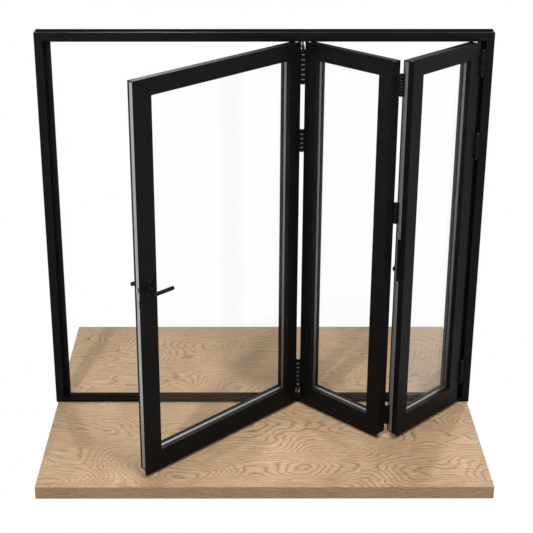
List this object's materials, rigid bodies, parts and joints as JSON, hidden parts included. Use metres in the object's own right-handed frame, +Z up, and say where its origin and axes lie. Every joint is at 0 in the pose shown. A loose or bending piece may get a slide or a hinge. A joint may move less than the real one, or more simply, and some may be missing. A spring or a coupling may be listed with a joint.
{
  "type": "bifold patio door",
  "caption": "Black aluminium bifold patio door with clear double glazing, half open on an oak display plinth.",
  "frame": {"origin": "middle of the plinth's underside", "axes": "+X along the frame to the jamb that carries the leaves, +Y from the viewer to the back, +Z up"},
  "size_m": [2.4, 1.866, 2.2635],
  "materials": {
    "oak": "matt oiled natural oak",
    "frame_black": "satin powder coat",
    "threshold_black": "satin anodised black",
    "leaf_black": "satin powder coat",
    "clear_glass": "clear float glass",
    "spacer_aluminium": "matt",
    "seal_rubber": "matt black",
    "strip_aluminium": "mill finish",
    "bright_steel": "brushed",
    "hinge_black": "satin powder coat",
    "pin_steel": "brushed",
    "lever_black": "satin powder coat",
    "trolley_metal": "satin",
    "wheel_nylon": "turned nylon"
  },
  "bodies": {
    "door": {"plinth": "oak", "head": "frame_black", "jamb_left": "frame_black", "jamb_right": "frame_black", "threshold": "threshold_black", "traffic_lock_stile": "leaf_black", "traffic_hinge_stile": "leaf_black", "traffic_top_rail": "leaf_black", "traffic_bottom_rail": "leaf_black", "middle_track_stile": "leaf_black", "middle_apex_stile": "leaf_black", "middle_top_rail": "leaf_black", "middle_bottom_rail": "leaf_black", "end_apex_stile": "leaf_black", "end_jamb_stile": "leaf_black", "end_top_rail": "leaf_black", "end_bottom_rail": "leaf_black", "traffic_bead": "leaf_black", "middle_bead": "leaf_black", "end_bead": "leaf_black", "traffic_glass": "clear_glass", "middle_glass": "clear_glass", "end_glass": "clear_glass", "glass_spacers": "spacer_aluminium", "frame_gaskets": "seal_rubber", "glazing_gaskets": "seal_rubber", "fold_buffer": "seal_rubber", "traffic_edge_strip": "strip_aluminium", "end_edge_strip": "strip_aluminium", "lock_faceplate": "bright_steel", "trolley_spindle": "bright_steel", "jamb_hinges_frame_side": "hinge_black", "jamb_hinges_leaf_side": "hinge_black", "track_hinges_traffic_side": "hinge_black", "track_hinges_middle_side": "hinge_black", "apex_hinges_middle_side": "hinge_black", "apex_hinges_end_side": "hinge_black", "bolt_faceplate": "hinge_black", "bolt_handle": "hinge_black", "hinge_pins": "pin_steel", "lever_roses": "lever_black", "key_cylinder": "lever_black", "trolley": "trolley_metal", "bottom_guide": "trolley_metal", "trolley_wheels": "wheel_nylon"},
    "lever_set": {"lever_inside": "lever_black", "lever_outside": "lever_black", "lever_spindle": "bright_steel"}
  },
  "joints": [
    {"name": "lever_press", "type": "hinge", "parent": "door", "child": "lever_set", "pos_m": [-0.60018, -0.78789, 1.131], "axis": [-0.6947, 0.7193, 0], "range_deg": [0, 45], "stiffness_Nm_per_rad": 1, "springref_deg": -34.38}
  ]
}
